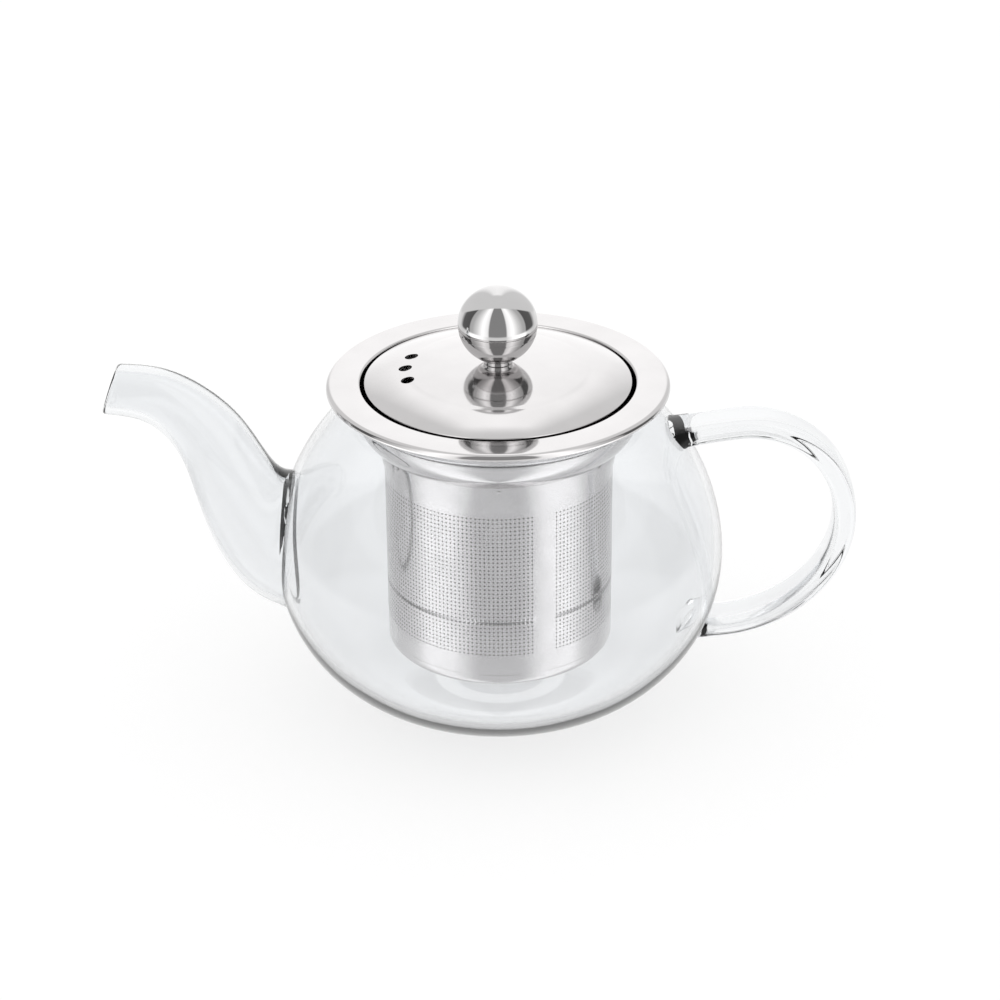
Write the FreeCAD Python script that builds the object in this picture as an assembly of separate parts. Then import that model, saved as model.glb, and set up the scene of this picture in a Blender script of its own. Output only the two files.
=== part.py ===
import FreeCAD, Part
import math
import os
from FreeCAD import Vector

# A glass teapot with a lift-out steel strainer and a domed steel lid with a ball knob.
# Frame: the origin is the centre of the foot on the table, +Z up, +X towards the handle,
# -X towards the spout. All sizes are in millimetres.

# --- blown glass pot ---
body_radius = 52.3  # at the widest level
belly_height = 36.3  # height of the widest level
mouth_height = 79.4  # top of the glass
neck_length = 6.06  # straight neck between the shoulder and the mouth
glass_wall = 1.8
base_thickness = 2.6
foot_radius = 15.8  # outer edge of the flat ring that stands on the table
foot_width = 4.8
foot_hollow = 0.8  # how far the middle of the base is pushed up
shoulder_centre = -7.0  # the shoulder's ellipse starts this far past the axis
mouth_land = 1.0  # width of the flat that the strainer's rim rests on
neck_fillet = 2.5

# --- spout ---
# Each outline runs from a root inside the pot's wall to the lip. Its points are given by how far
# they stand out past the pot's widest radius, and by their share of the climb from root to lip.
spout_top_root_rise = 18.7  # above the widest level
spout_bottom_root_drop = 14.8  # below the widest level
spout_lip_rise = 4.9  # the lip's upper edge above the mouth, so that a full pot doesn't run out
spout_lip_drop = 6.8  # the lip's lower edge below the mouth
spout_top_shape = ((-9.8, 0.0), (-1.8, 0.055), (2.0, 0.225), (7.7, 0.546), (15.2, 0.792),
                   (24.7, 0.956), (34.7, 1.0))
spout_bottom_shape = ((-9.8, 0.0), (4.2, 0.078), (13.3, 0.303), (18.3, 0.587), (21.9, 0.804),
                      (28.7, 0.955), (38.9, 1.0))
spout_wall = 1.7
spout_root_half_width = 14.5
spout_lip_half_width = 5.7
spout_taper = 1.4  # above 1, most of the narrowing is near the root
spout_sections = 15
spout_oval_points = 16
spout_bore_run_out = (-2.0, 0.2)  # how far the bore runs on past the lip, along X and Z

# --- handle: a flat glass strap bent through four arcs ---
handle_start_inset = 7.4  # its first bend starts this far inside the pot's widest radius
handle_start_rise = 5.17  # and this far above the shoulder there
handle_start_angle = 10.0
handle_bends = ((10.6, -2.7), (26.5, -68.4), (27.9, -64.0), (29.2, -50.4))  # length, turn
handle_root_run = 10.0  # straight run at each end, which reaches the pot's wall
strap_width = 10.8
strap_thickness = 5.4
strap_corner = 2.2
strap_corner_limit = 0.9  # the corner takes at most this share of half the thickness

# --- strainer ---
steel_sheet = 0.5
flange_overhang = 4.5  # the rim's reach past the glass neck
flange_lip = 1.5  # how far the rolled outer edge hangs down
flange_edge_radius = 1.1
well_radius = 31.75  # inside the well that the lid sits in
well_depth = 5.2  # from the rim down to where the collar's curve starts
well_edge_radius = 0.6
mouth_clearance = 1.05  # between the well and the glass mouth
bowl_arc_radius = 11.0  # outside of the rounded collar under the well
collar_ledge = 5.35  # how far the collar steps in from the well to the strainer
strainer_clearance = 10.6  # between the strainer and the inside of the pot's base
strainer_corner = 2.4
base_cup_height = 3.4
cup_joggle_height = 2.5
collar_overlap = 2.0

# --- lid ---
lid_play = 0.91  # between the lid and the well
lid_sheet = 0.6
lid_rise = 4.7  # the middle of the lid above the rim
crown_radius = 115.0
lid_shoulder = 9.84  # width of the steeper band outside the crown
lid_shoulder_bulge = 0.32  # how far that band bows out from its chord
lid_lip = 0.9
lid_lip_land = 0.33  # how far the inside of the dome ends below the rim's level
vent_offset = 0.35  # the vents' circle lies this far outside the crown
vent_radius = 1.55
vent_count = 3
vent_step = 17.5
vent_direction = 177.0
cut_overrun = 1.0  # how far each cut runs on past what it cuts
skirt_sheet = 0.5
skirt_gap = 0.25  # between the skirt's top edge and the lip's land
seat_gap = 0.15  # between the skirt's lower edge and the collar

# --- ball knob ---
ball_radius = 9.14
shell_sheet = 0.7
seam_drop = 1.9  # the seam lies this far below the ball's centre
seam_groove = 0.25
stem_length = 1.62  # between the lid and the ball
stem_radius = 3.3
stem_collar_radius = 4.8
stem_neck_height = 0.6
stem_flare = 0.3  # at this share of its width, the flare has this share of its height left
stem_boss_height = 5.0
screw_radius = 2.0
screw_clearance = 0.1
screw_depth = 4.0
screw_head_radius = 3.4
screw_head_height = 1.8
screw_slot = 0.8
washer_radius = 5.2
washer_thickness = 0.8

# --- what follows from these ---
well_outside = well_radius + steel_sheet
strainer_radius = well_radius - collar_ledge
mouth_radius = well_outside + mouth_clearance
neck_radius = mouth_radius + glass_wall
neck_height = mouth_height - neck_length
neck_share = (neck_radius - shoulder_centre) / (body_radius - shoulder_centre)
shoulder_rise = (neck_height - belly_height) / math.sqrt(1 - neck_share * neck_share)
flange_height = mouth_height + steel_sheet
flange_radius = neck_radius + flange_overhang
strainer_floor = base_thickness + strainer_clearance
lid_radius = well_radius - lid_play
lid_apex = flange_height + lid_rise
crown_reach = lid_radius - lid_shoulder
vent_circle_radius = crown_reach + vent_offset
skirt_radius = lid_radius - lid_sheet  # pressed into the dome's edge and spot-welded
collar_height = lid_apex + stem_length
ball_centre_height = collar_height + math.sqrt(ball_radius ** 2 - stem_collar_radius ** 2)


def save(shape, name):
    shape.exportStep(os.path.join("parts", name + ".step"))


def at(radius, height):
    """A point of a turned outline: radius along +X, height along +Z."""
    return Vector(radius, 0, height)


def line(start, end):
    return Part.LineSegment(start, end).toShape()


def arc(start, middle, end):
    return Part.Arc(start, middle, end).toShape()


def round_arc(centre, radius, start_angle, end_angle):
    """An arc in the XZ plane. Angles are in degrees, from +X towards +Z."""
    points = []
    for angle in (start_angle, (start_angle + end_angle) / 2, end_angle):
        turn = math.radians(angle)
        points.append(centre + Vector(radius * math.cos(turn), 0, radius * math.sin(turn)))
    return arc(points[0], points[1], points[2])


def ellipse_arc(centre, reach, rise, start_angle, end_angle):
    """A round arc of radius reach, stretched along Z about its centre until its height is rise."""
    circle = round_arc(Vector(centre.x, 0, 0), reach, start_angle, end_angle)
    stretch = FreeCAD.Matrix()
    stretch.scale(1, 1, rise / reach)
    stretched = circle.transformGeometry(stretch)
    stretched.translate(Vector(0, 0, centre.z))
    return stretched


def turned(edges):
    """A solid of revolution about Z from the edges of a closed outline."""
    face = Part.Face(Part.Wire(Part.__sortEdges__(edges)))
    solid = face.revolve(Vector(0, 0, 0), Vector(0, 0, 1), 360)
    return Part.Solid(solid) if solid.ShapeType == "Shell" else solid


def tube(outer, inner, low, high):
    """A plain ring between two radii and two heights."""
    shape = Part.makeCylinder(outer, high - low, at(0, low))
    if inner > 0:
        shape = shape.cut(Part.makeCylinder(inner, high - low, at(0, low)))
    return shape


# --- glass pot ---


def shoulder_height(radius, inset):
    """Height at which the shoulder's ellipse, inset by a wall, has the given radius."""
    reach = body_radius - inset - shoulder_centre
    share = (radius - shoulder_centre) / reach
    return belly_height + (shoulder_rise - inset) * math.sqrt(1 - share * share)


def shoulder_angle(radius, inset):
    reach = body_radius - inset - shoulder_centre
    return math.degrees(math.acos((radius - shoulder_centre) / reach))


def pot_outer_edges():
    """The outside of the pot, from the axis under the foot up to the mouth."""
    foot_inner = foot_radius - foot_width
    belly = at(foot_radius, belly_height)
    shoulder = at(shoulder_centre, belly_height)
    shoulder_end = shoulder_angle(neck_radius, 0)
    neck_low = at(neck_radius, shoulder_height(neck_radius, 0))
    hollow_middle = at(foot_inner / 2, foot_hollow * 3 / 4)  # a shallow arc has sunk by a quarter
    return [
        arc(at(0, foot_hollow), hollow_middle, at(foot_inner, 0)),
        line(at(foot_inner, 0), at(foot_radius, 0)),
        ellipse_arc(belly, body_radius - foot_radius, belly_height, -90, 0),
        ellipse_arc(shoulder, body_radius - shoulder_centre, shoulder_rise, 0, shoulder_end),
        line(neck_low, at(neck_radius, mouth_height)),
    ]


def pot_envelope():
    """Everything inside the pot's outer surface, the space for the tea included."""
    top = at(0, mouth_height)
    edges = pot_outer_edges()
    edges.append(line(at(neck_radius, mouth_height), top))
    edges.append(line(top, at(0, foot_hollow)))
    return turned(edges)


def pot_space():
    """The space for the tea, from the inside of the base to the mouth."""
    belly = at(foot_radius, belly_height)
    shoulder = at(shoulder_centre, belly_height)
    inner_radius = body_radius - glass_wall
    shoulder_end = shoulder_angle(mouth_radius, glass_wall)
    neck_low = at(mouth_radius, shoulder_height(mouth_radius, glass_wall))
    top = at(0, mouth_height)
    return turned([
        line(at(0, base_thickness), at(foot_radius, base_thickness)),
        ellipse_arc(belly, inner_radius - foot_radius, belly_height - base_thickness, -90, 0),
        ellipse_arc(shoulder, inner_radius - shoulder_centre, shoulder_rise - glass_wall,
                    0, shoulder_end),
        line(neck_low, at(mouth_radius, mouth_height)),
        line(at(mouth_radius, mouth_height), top),
        line(top, at(0, base_thickness)),
    ])


def is_circle_at(edge, radius, height):
    """True for a full circle about Z with that radius and height."""
    box = edge.BoundBox
    flat = box.ZLength < 0.01 and abs(box.ZMin - height) < 0.01
    return flat and abs(box.XMax - radius) < 0.05 and abs(box.XMin + radius) < 0.05


def round_circles(solid, circles, radius):
    """Rounds the circular edges named by (radius, height)."""
    chosen = []
    for edge in solid.Edges:
        if any(is_circle_at(edge, ring, height) for ring, height in circles):
            chosen.append(edge)
    return solid.makeFillet(radius, chosen) if chosen else solid


def blown_pot():
    """The whole blown wall: belly, shoulder and a straight neck with a fire-polished mouth."""
    body = pot_envelope().cut(pot_space())
    neck_foot = (neck_radius, shoulder_height(neck_radius, 0))
    body = round_circles(body, [neck_foot], neck_fillet)
    edge_radius = (glass_wall - mouth_land) / 2
    mouth_edges = [(neck_radius, mouth_height), (mouth_radius, mouth_height)]
    body = round_circles(body, mouth_edges, edge_radius)
    return body.cut(spout_form(spout_wall))


def slab(low, high):
    """All the space round the pot between two heights."""
    return Part.makeCylinder(2 * body_radius, high - low, at(0, low))


def glass_bowl():
    """The pot's wall up to its widest level, with the foot."""
    return blown_pot().common(slab(-cut_overrun, belly_height))


def glass_shoulder():
    """The pot's wall from its widest level up, with the neck and the mouth."""
    return blown_pot().common(slab(belly_height, mouth_height + cut_overrun))


# --- spout ---


def spout_outline(root_height, lip_height, shape):
    """A smooth curve through an outline's points."""
    points = []
    for reach, climb in shape:
        points.append(at(-body_radius - reach, root_height + climb * (lip_height - root_height)))
    curve = Part.BSplineCurve()
    curve.interpolate(points)
    return curve


def spout_outline_top():
    """The upper outline: out of the shoulder, up in a hollow sweep and over to the lip."""
    return spout_outline(belly_height + spout_top_root_rise, mouth_height + spout_lip_rise,
                         spout_top_shape)


def spout_outline_bottom():
    """The lower outline: a full, rounded heel that bends up and over to the lip."""
    return spout_outline(belly_height - spout_bottom_root_drop, mouth_height - spout_lip_drop,
                         spout_bottom_shape)


def share_of(curve, share):
    return curve.value(curve.FirstParameter + share * (curve.LastParameter - curve.FirstParameter))


def spout_form(inset):
    """The spout as a solid bar, inset from its outside. An inset bar runs on past the lip."""
    top = spout_outline_top()
    bottom = spout_outline_bottom()
    curves = []
    widening = spout_root_half_width - spout_lip_half_width
    for index in range(spout_sections):
        share = index / (spout_sections - 1)
        half_width = spout_lip_half_width + widening * (1 - share) ** spout_taper
        curves.append(oval_loop(share_of(top, share), share_of(bottom, share), half_width, inset))
    if inset > 0:
        beyond = at(spout_bore_run_out[0], spout_bore_run_out[1])
        last_top = share_of(top, 1) + beyond
        last_bottom = share_of(bottom, 1) + beyond
        curves.append(oval_loop(last_top, last_bottom, spout_lip_half_width, inset))
    return Part.makeLoft(curves, True, False)


def oval_loop(top, bottom, half_width, inset):
    """A closed curve across the spout whose start is always at its upper outline."""
    centre = (top + bottom) * 0.5
    up = (top - bottom).normalize()
    half_height = (top - bottom).Length / 2 - inset
    across = Vector(0, half_width - inset, 0)
    points = []
    for index in range(spout_oval_points):
        turn = 2 * math.pi * index / spout_oval_points
        points.append(centre + up * (half_height * math.cos(turn)) + across * math.sin(turn))
    curve = Part.BSplineCurve()
    curve.interpolate(points, PeriodicFlag=True)
    return Part.Wire(curve.toShape())


def glass_spout():
    """The drawn tube, fused to the outside of the pot round a hole in its wall."""
    bar = spout_form(0)
    return bar.cut(spout_form(spout_wall)).cut(pot_envelope())


# --- handle ---


def handle_start():
    """Where the strap's first bend starts, a little above the pot's shoulder."""
    radius = body_radius - handle_start_inset
    return at(radius, shoulder_height(radius, 0) + handle_start_rise)


def run_on(point, heading, length):
    return point + Vector(length * math.cos(heading), 0, length * math.sin(heading))


def handle_path():
    """The middle line of the strap: arcs that run on into each other, with a straight run at
    each end."""
    here = handle_start()
    heading = math.radians(handle_start_angle)
    edges = [line(run_on(here, heading, -handle_root_run), here)]
    for length, turn_degrees in handle_bends:
        turn = math.radians(turn_degrees)
        radius = length / turn
        centre = here + Vector(-radius * math.sin(heading), 0, radius * math.cos(heading))
        points = []
        for share in (0, 0.5, 1):
            now = heading + turn * share
            points.append(centre + Vector(radius * math.sin(now), 0, -radius * math.cos(now)))
        edges.append(arc(points[0], points[1], points[2]))
        heading += turn
        here = points[2]
    edges.append(line(here, run_on(here, heading, handle_root_run)))
    return Part.Wire(edges)


def strap_section():
    """The strap's rounded section, square to the start of its path."""
    half_width = strap_width / 2
    half_thickness = strap_thickness / 2
    corner = min(strap_corner, half_thickness * strap_corner_limit)
    plate = Part.makePlane(strap_width, strap_thickness, Vector(-half_width, -half_thickness, 0))
    block_height = 1.0
    block = plate.extrude(Vector(0, 0, block_height))
    uprights = [edge for edge in block.Edges if edge.BoundBox.ZLength > block_height / 2]
    rounded = block.makeFillet(corner, uprights)
    flat = min(rounded.Faces, key=lambda face: face.CenterOfMass.z)
    wire = flat.OuterWire
    placement = FreeCAD.Placement()
    heading = math.radians(handle_start_angle)
    forward = Vector(math.cos(heading), 0, math.sin(heading))
    upward = Vector(-math.sin(heading), 0, math.cos(heading))
    placement.Rotation = FreeCAD.Rotation(Vector(0, 1, 0), upward, forward, "ZXY")
    placement.Base = run_on(handle_start(), heading, -handle_root_run)
    wire.Placement = placement
    return wire


def glass_handle():
    """The solid strap, fused to the pot at both ends."""
    bar = handle_path().makePipeShell([strap_section()], True, False)
    return bar.cut(pot_envelope())


# --- strainer ---


def bowl_centre():
    return at(well_outside - bowl_arc_radius, flange_height - well_depth)


def bowl_end_angle(radius, arc_radius):
    """Angle on the collar's arc at which it has the given radius, below the horizontal."""
    return -math.degrees(math.acos((radius - bowl_centre().x) / arc_radius))


def infuser_flange():
    """One pressing: the flat rim with its rolled edge, the well for the lid and the round collar."""
    centre = bowl_centre()
    inside = bowl_arc_radius - steel_sheet
    end_angle = bowl_end_angle(strainer_radius, bowl_arc_radius)
    outer_end = centre + Vector(bowl_arc_radius * math.cos(math.radians(end_angle)), 0,
                                bowl_arc_radius * math.sin(math.radians(end_angle)))
    inner_end_angle = bowl_end_angle(strainer_radius, inside)
    inner_end = centre + Vector(inside * math.cos(math.radians(inner_end_angle)), 0,
                                inside * math.sin(math.radians(inner_end_angle)))
    edge = flange_edge_radius
    edge_centre = at(flange_radius - edge, flange_height - edge)
    lip_low = flange_height - flange_lip
    bend = well_edge_radius
    bend_centre = at(well_radius + bend, flange_height - bend)
    under = bend - steel_sheet
    lip_inner = flange_radius - steel_sheet
    return turned([
        line(at(flange_radius, lip_low), at(flange_radius, edge_centre.z)),
        round_arc(edge_centre, edge, 0, 90),
        line(at(edge_centre.x, flange_height), at(bend_centre.x, flange_height)),
        round_arc(bend_centre, bend, 90, 180),
        line(at(well_radius, bend_centre.z), at(well_radius, centre.z)),
        round_arc(centre, inside, 0, inner_end_angle),
        line(inner_end, outer_end),
        round_arc(centre, bowl_arc_radius, end_angle, 0),
        line(at(well_outside, centre.z), at(well_outside, bend_centre.z)),
        round_arc(bend_centre, under, 180, 90),
        line(at(bend_centre.x, flange_height - steel_sheet),
             at(edge_centre.x, flange_height - steel_sheet)),
        round_arc(edge_centre, edge - steel_sheet, 90, 0),
        line(at(lip_inner, edge_centre.z), at(lip_inner, lip_low)),
        line(at(lip_inner, lip_low), at(flange_radius, lip_low)),
    ])


def wall_top():
    """The wall's top edge, a little above the lower edge of the collar that it is welded in."""
    inside = bowl_arc_radius - steel_sheet
    angle = math.radians(bowl_end_angle(strainer_radius, inside))
    return bowl_centre().z + inside * math.sin(angle) + collar_overlap


def infuser_wall():
    """The rolled sheet that the tea is strained through."""
    low = strainer_floor + base_cup_height
    return tube(strainer_radius, strainer_radius - steel_sheet, low, wall_top())


def infuser_base():
    """The pressed cup that closes the strainer, with a joggle that fits inside the wall."""
    inner = strainer_radius - steel_sheet
    corner = strainer_corner
    corner_centre = at(strainer_radius - corner, strainer_floor + corner)
    cup_top = strainer_floor + base_cup_height
    joggle_top = cup_top + cup_joggle_height
    joggle_inner = inner - steel_sheet
    floor_top = strainer_floor + steel_sheet
    return turned([
        line(at(0, strainer_floor), at(corner_centre.x, strainer_floor)),
        round_arc(corner_centre, corner, -90, 0),
        line(at(strainer_radius, corner_centre.z), at(strainer_radius, cup_top)),
        line(at(strainer_radius, cup_top), at(inner, cup_top)),
        line(at(inner, cup_top), at(inner, joggle_top)),
        line(at(inner, joggle_top), at(joggle_inner, joggle_top)),
        line(at(joggle_inner, joggle_top), at(joggle_inner, corner_centre.z)),
        round_arc(at(joggle_inner - corner + steel_sheet, corner_centre.z),
                  corner - steel_sheet, 0, -90),
        line(at(joggle_inner - corner + steel_sheet, floor_top), at(0, floor_top)),
        line(at(0, floor_top), at(0, strainer_floor)),
    ])


# --- lid ---


def crown_height(radius, sheet):
    """Height of the crown's surface, a sheet's thickness below the top one."""
    sphere = crown_radius - sheet
    return lid_apex - crown_radius + math.sqrt(sphere * sphere - radius * radius)


def shoulder_arc_middle(start, end, bulge):
    """A point halfway along, pushed out square to the chord."""
    chord = end - start
    outward = Vector(-chord.z, 0, chord.x).normalize()
    return (start + end) * 0.5 + outward * bulge


def lid_dome():
    """The pressed dome with its turned-down edge, three steam vents and the screw's hole."""
    rim_height = flange_height
    top_join = at(crown_reach, crown_height(crown_reach, 0))
    under_join = at(crown_reach, crown_height(crown_reach, lid_sheet))
    rim_top = at(lid_radius, rim_height)
    inner_rim = lid_radius - lid_sheet
    rim_under = at(inner_rim, rim_height - lid_lip_land)
    bulge = lid_shoulder_bulge
    crown_middle = at(crown_reach / 2, crown_height(crown_reach / 2, 0))
    under_middle = at(crown_reach / 2, crown_height(crown_reach / 2, lid_sheet))
    dome = turned([
        arc(at(0, lid_apex), crown_middle, top_join),
        arc(top_join, shoulder_arc_middle(top_join, rim_top, bulge), rim_top),
        line(rim_top, at(lid_radius, rim_height - lid_lip)),
        line(at(lid_radius, rim_height - lid_lip), at(inner_rim, rim_height - lid_lip)),
        line(at(inner_rim, rim_height - lid_lip), rim_under),
        arc(rim_under, shoulder_arc_middle(under_join, rim_under, bulge), under_join),
        arc(under_join, under_middle, at(0, lid_apex - lid_sheet)),
        line(at(0, lid_apex - lid_sheet), at(0, lid_apex)),
    ])
    drill_low = rim_height - cut_overrun
    drill_length = lid_rise + 2 * cut_overrun
    for index in range(vent_count):
        angle = math.radians(vent_direction + (index - (vent_count - 1) / 2) * vent_step)
        place = Vector(vent_circle_radius * math.cos(angle), vent_circle_radius * math.sin(angle),
                       drill_low)
        dome = dome.cut(Part.makeCylinder(vent_radius, drill_length, place))
    hole = screw_radius + screw_clearance
    return dome.cut(Part.makeCylinder(hole, drill_length, at(0, drill_low)))


def stem_seat():
    """Height of the edge of the screw's hole, which the stem stands on."""
    return crown_height(screw_radius + screw_clearance, 0)


def lid_skirt():
    """The ring under the dome that keeps the lid in the well. It stands on the round collar."""
    inside = bowl_arc_radius - steel_sheet
    centre = bowl_centre()
    seat = centre.z - math.sqrt(inside * inside - (skirt_radius - centre.x) ** 2)
    top = flange_height - lid_lip_land - skirt_gap
    return tube(skirt_radius, skirt_radius - skirt_sheet, seat + seat_gap, top)


# --- knob ---


def ball_shell(low, high):
    """The part of the hollow ball between two heights."""
    centre = at(0, ball_centre_height)
    shell = Part.makeSphere(ball_radius, centre)
    shell = shell.cut(Part.makeSphere(ball_radius - shell_sheet, centre))
    slab = Part.makeCylinder(ball_radius + 1, high - low, at(0, low))
    return shell.common(slab)


def knob_upper_shell():
    seam = ball_centre_height - seam_drop
    return ball_shell(seam, ball_centre_height + ball_radius + 1)


def knob_lower_shell():
    """The lower half, with a fine groove at the seam and a hole that the stem's collar fills."""
    seam = ball_centre_height - seam_drop
    shell = ball_shell(ball_centre_height - ball_radius - 1, seam)
    groove = tube(ball_radius + 1, seam_radius() - seam_groove, seam - seam_groove, seam)
    hole = Part.makeCylinder(stem_collar_radius, ball_radius * 2,
                             at(0, ball_centre_height - 2 * ball_radius - 1))
    return shell.cut(groove).cut(hole)


def seam_radius():
    return math.sqrt(ball_radius ** 2 - seam_drop ** 2)


def knob_stem():
    """The turned stem: a short neck on the lid that flares to a collar, and a tapped boss."""
    neck_low = stem_seat()
    neck_top = neck_low + stem_neck_height
    collar_low = collar_height
    collar_high = collar_low + shell_sheet
    boss_top = collar_high + stem_boss_height
    flare_middle = at(stem_radius + (stem_collar_radius - stem_radius) * stem_flare,
                      neck_top + (collar_low - neck_top) * (1 - stem_flare))
    bore = screw_radius
    bore_top = neck_low + screw_depth
    return turned([
        line(at(bore, neck_low), at(stem_radius, neck_low)),
        line(at(stem_radius, neck_low), at(stem_radius, neck_top)),
        arc(at(stem_radius, neck_top), flare_middle, at(stem_collar_radius, collar_low)),
        line(at(stem_collar_radius, collar_low), at(stem_collar_radius, collar_high)),
        line(at(stem_collar_radius, collar_high), at(stem_radius, collar_high)),
        line(at(stem_radius, collar_high), at(stem_radius, boss_top)),
        line(at(stem_radius, boss_top), at(0, boss_top)),
        line(at(0, boss_top), at(0, bore_top)),
        line(at(0, bore_top), at(bore, bore_top)),
        line(at(bore, bore_top), at(bore, neck_low)),
    ])


def washer_top():
    """The washer's flat top touches the dome's underside at the washer's rim."""
    return crown_height(washer_radius, lid_sheet)


def knob_washer():
    top = washer_top()
    return tube(washer_radius, screw_radius + screw_clearance, top - washer_thickness, top)


def knob_screw():
    """The screw that holds the stem on the lid, put in from below."""
    head_top = washer_top() - washer_thickness
    shank_top = stem_seat() + screw_depth
    head = Part.makeCylinder(screw_head_radius, screw_head_height, at(0, head_top - screw_head_height))
    shank = Part.makeCylinder(screw_radius, shank_top - head_top, at(0, head_top))
    slot_length = 2 * (screw_head_radius + cut_overrun)
    slot = Part.makeBox(slot_length, screw_slot, screw_slot)
    slot.translate(Vector(-slot_length / 2, -screw_slot / 2, head_top - screw_head_height))
    return head.fuse(shank).removeSplitter().cut(slot)


os.makedirs("parts", exist_ok=True)
pieces = {
    "glass_bowl": glass_bowl,
    "glass_shoulder": glass_shoulder,
    "glass_spout": glass_spout,
    "glass_handle": glass_handle,
    "infuser_flange": infuser_flange,
    "infuser_wall": infuser_wall,
    "infuser_base": infuser_base,
    "lid_dome": lid_dome,
    "lid_skirt": lid_skirt,
    "knob_upper_shell": knob_upper_shell,
    "knob_lower_shell": knob_lower_shell,
    "knob_stem": knob_stem,
    "knob_washer": knob_washer,
    "knob_screw": knob_screw,
}
for piece_name, make_piece in pieces.items():
    save(make_piece(), piece_name)
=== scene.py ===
import bpy
import bmesh
import math
import numpy as np
from mathutils import Matrix, Vector


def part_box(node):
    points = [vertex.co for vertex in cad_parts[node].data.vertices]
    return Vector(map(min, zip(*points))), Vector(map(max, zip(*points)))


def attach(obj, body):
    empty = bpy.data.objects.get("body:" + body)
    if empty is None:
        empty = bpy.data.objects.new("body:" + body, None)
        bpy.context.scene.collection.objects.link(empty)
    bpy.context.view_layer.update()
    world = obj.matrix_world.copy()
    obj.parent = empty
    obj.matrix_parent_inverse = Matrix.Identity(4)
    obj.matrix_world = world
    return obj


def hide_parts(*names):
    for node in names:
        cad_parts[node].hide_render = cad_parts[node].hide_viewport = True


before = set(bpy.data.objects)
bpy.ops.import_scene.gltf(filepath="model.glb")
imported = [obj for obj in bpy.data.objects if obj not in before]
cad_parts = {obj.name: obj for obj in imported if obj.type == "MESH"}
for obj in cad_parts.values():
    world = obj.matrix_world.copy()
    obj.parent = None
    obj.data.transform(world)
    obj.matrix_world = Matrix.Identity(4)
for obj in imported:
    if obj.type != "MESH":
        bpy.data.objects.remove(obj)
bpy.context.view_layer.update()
mm = 0.001

# --- Camera ---
# A long lens on a stand in front of the pot, looking down on it. The stand leans by under half
# a degree.
aim = Vector((0, 0, 48.93)) * mm
camera_distance = 869 * mm
camera_rise = math.radians(27.0)
camera_lean = math.radians(-0.45)
camera_data = bpy.data.cameras.new("camera")
camera_data.lens = 133.85
camera_data.sensor_width = 36.0
camera_data.shift_x = 0.001
camera_data.clip_start = 0.02
camera_data.clip_end = 50.0
camera = bpy.data.objects.new("camera", camera_data)
back = Vector((0, -math.cos(camera_rise), math.sin(camera_rise)))
turn = (-back).to_track_quat("-Z", "Y").to_matrix() @ Matrix.Rotation(camera_lean, 3, "Z")
camera.matrix_world = Matrix.Translation(aim + back * camera_distance) @ turn.to_4x4()
bpy.context.scene.collection.objects.link(camera)
bpy.context.scene.camera = camera
bpy.context.scene.view_settings.view_transform = "Standard"


# --- Glass ---
# The pot, its spout and its handle are hand-blown borosilicate glass, clear and colourless. The
# spout and the handle are welded on in the flame, so the three are one continuous wall of glass.


def linear(hex_colour):
    """An sRGB hex colour as linear red, green, blue and alpha."""
    parts = [int(hex_colour[place:place + 2], 16) / 255 for place in (1, 3, 5)]
    return [((c + 0.055) / 1.055) ** 2.4 if c > 0.04045 else c / 12.92 for c in parts] + [1.0]


def add_node(tree, kind, settings=None, **inputs):
    """Adds a node. Settings are its own properties. Inputs are values, or sockets to link from;
    an input's name uses underscores for spaces, and in_0 means the socket by its number."""
    node = tree.nodes.new(kind)
    for name, value in (settings or {}).items():
        setattr(node, name, value)
    for name, value in inputs.items():
        place = int(name[3:]) if name.startswith("in_") else name.replace("_", " ")
        socket = node.inputs[place]
        if isinstance(value, bpy.types.NodeSocket):
            tree.links.new(value, socket)
        else:
            socket.default_value = value
    return node


def new_material(name):
    """An empty node material, and its tree."""
    material = bpy.data.materials.new(name)
    material.use_nodes = True
    material.node_tree.nodes.clear()
    return material, material.node_tree


def borosilicate_glass():
    """Flame-worked borosilicate: IOR 1.47 and a skin smooth as water. A trace of iron takes a
    little light from each wall, and soft waves a few centimetres long are left by blowing."""
    material, tree = new_material("borosilicate_glass")
    place = add_node(tree, "ShaderNodeTexCoord").outputs["Object"]
    wave_length = 22 * mm
    waves = add_node(tree, "ShaderNodeTexNoise", Vector=place, Scale=1 / wave_length, Detail=1.0)
    bump = add_node(tree, "ShaderNodeBump", Height=waves.outputs["Fac"], Strength=1.0,
                    Distance=0.03 * mm)
    shader = add_node(tree, "ShaderNodeBsdfPrincipled", Base_Color=linear("#F5F6F7"),
                      Roughness=0.0, IOR=1.47, Transmission_Weight=1.0,
                      Normal=bump.outputs["Normal"])
    add_node(tree, "ShaderNodeOutputMaterial", Surface=shader.outputs["BSDF"])
    return material


def mesh_of(name, points, faces):
    """A mesh from an array of points and lists of faces."""
    mesh = bpy.data.meshes.new(name)
    mesh.from_pydata(points.tolist(), [], faces)
    mesh.validate()
    mesh.polygons.foreach_set("use_smooth", [True] * len(mesh.polygons))
    return mesh


def show(mesh, material, body, slot, *replaced, crease=40):
    """Makes a piece of a mesh: its finish, the body that it rides on and what it stands for."""
    mesh.set_sharp_from_angle(angle=math.radians(crease))
    mesh.materials.clear()
    mesh.materials.append(material)
    piece = bpy.data.objects.new(mesh.name, mesh)
    bpy.context.scene.collection.objects.link(piece)
    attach(piece, body)
    if replaced:
        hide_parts(*replaced)
    return piece


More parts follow.
